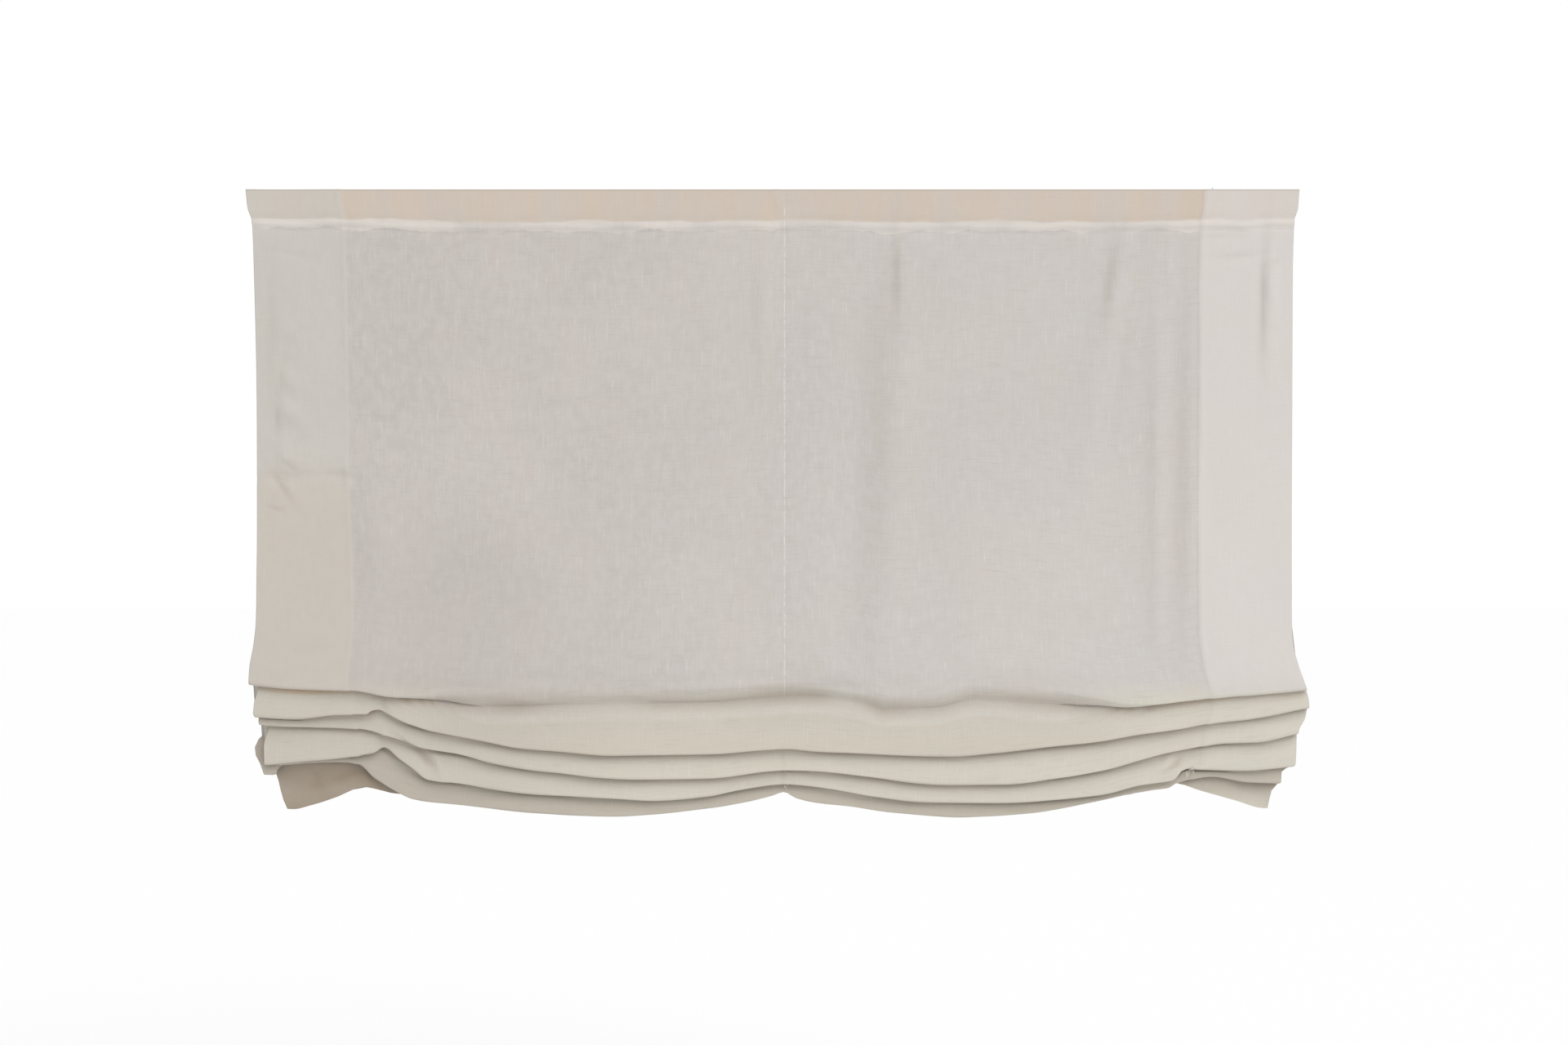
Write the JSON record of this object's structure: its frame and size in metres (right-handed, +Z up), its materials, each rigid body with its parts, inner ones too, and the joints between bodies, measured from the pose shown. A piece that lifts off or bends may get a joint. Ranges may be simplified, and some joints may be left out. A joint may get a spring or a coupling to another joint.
{
  "type": "roman blind",
  "caption": "Relaxed linen roman blind drawn up into soft stacked folds, on a head lath with hook-and-loop tape, lift cords, rings, cord lock and wall brackets.",
  "frame": {"origin": "middle of the lath's back face, on the wall plane", "axes": "+X to the viewer's right along the lath, +Y into the wall, +Z up"},
  "size_m": [1.204, 0.0936, 0.7201],
  "materials": {
    "linen": "plain weave, matt",
    "pine": "planed, unfinished",
    "tape": "woven nylon with hooks or loops",
    "ring_plastic": "moulded, smooth",
    "cord": "braided",
    "roller_plastic": "moulded, satin",
    "cam_brass": "machined",
    "zinc_steel": "zinc plated"
  },
  "bodies": {
    "blind": {"bracket_screws": "zinc_steel", "cam_pin": "zinc_steel", "hook_tape": "tape", "lath": "pine", "lift_cord_left": "cord", "lift_cord_middle": "cord", "lift_cord_right": "cord", "linen_panel": "linen", "lock_housing": "zinc_steel", "lock_screws": "zinc_steel", "loop_tape": "tape", "ring_left_1": "ring_plastic", "ring_left_2": "ring_plastic", "ring_left_3": "ring_plastic", "ring_left_4": "ring_plastic", "ring_left_5": "ring_plastic", "ring_left_6": "ring_plastic", "ring_left_7": "ring_plastic", "ring_left_bottom": "ring_plastic", "ring_middle_1": "ring_plastic", "ring_middle_2": "ring_plastic", "ring_middle_3": "ring_plastic", "ring_middle_4": "ring_plastic", "ring_middle_5": "ring_plastic", "ring_middle_6": "ring_plastic", "ring_middle_7": "ring_plastic", "ring_middle_bottom": "ring_plastic", "ring_right_1": "ring_plastic", "ring_right_2": "ring_plastic", "ring_right_3": "ring_plastic", "ring_right_4": "ring_plastic", "ring_right_5": "ring_plastic", "ring_right_6": "ring_plastic", "ring_right_7": "ring_plastic", "ring_right_bottom": "ring_plastic", "roller_pin": "zinc_steel", "screw_eye_left": "zinc_steel", "screw_eye_middle": "zinc_steel", "screw_eye_right": "zinc_steel", "wall_bracket_left": "zinc_steel", "wall_bracket_right": "zinc_steel"},
    "roller": {"guide_roller": "roller_plastic"},
    "cam": {"lock_cam": "cam_brass"}
  },
  "joints": [
    {"name": "cam_pivot", "type": "hinge", "parent": "blind", "child": "cam", "pos_m": [0.55, -0.039, -0.03576], "axis": [0, 1, 0], "range_deg": [0, 35]},
    {"name": "roller_spin", "type": "hinge", "parent": "blind", "child": "roller", "pos_m": [0.55, -0.039, -0.01974], "axis": [0, 1, 0], "continuous": true}
  ]
}
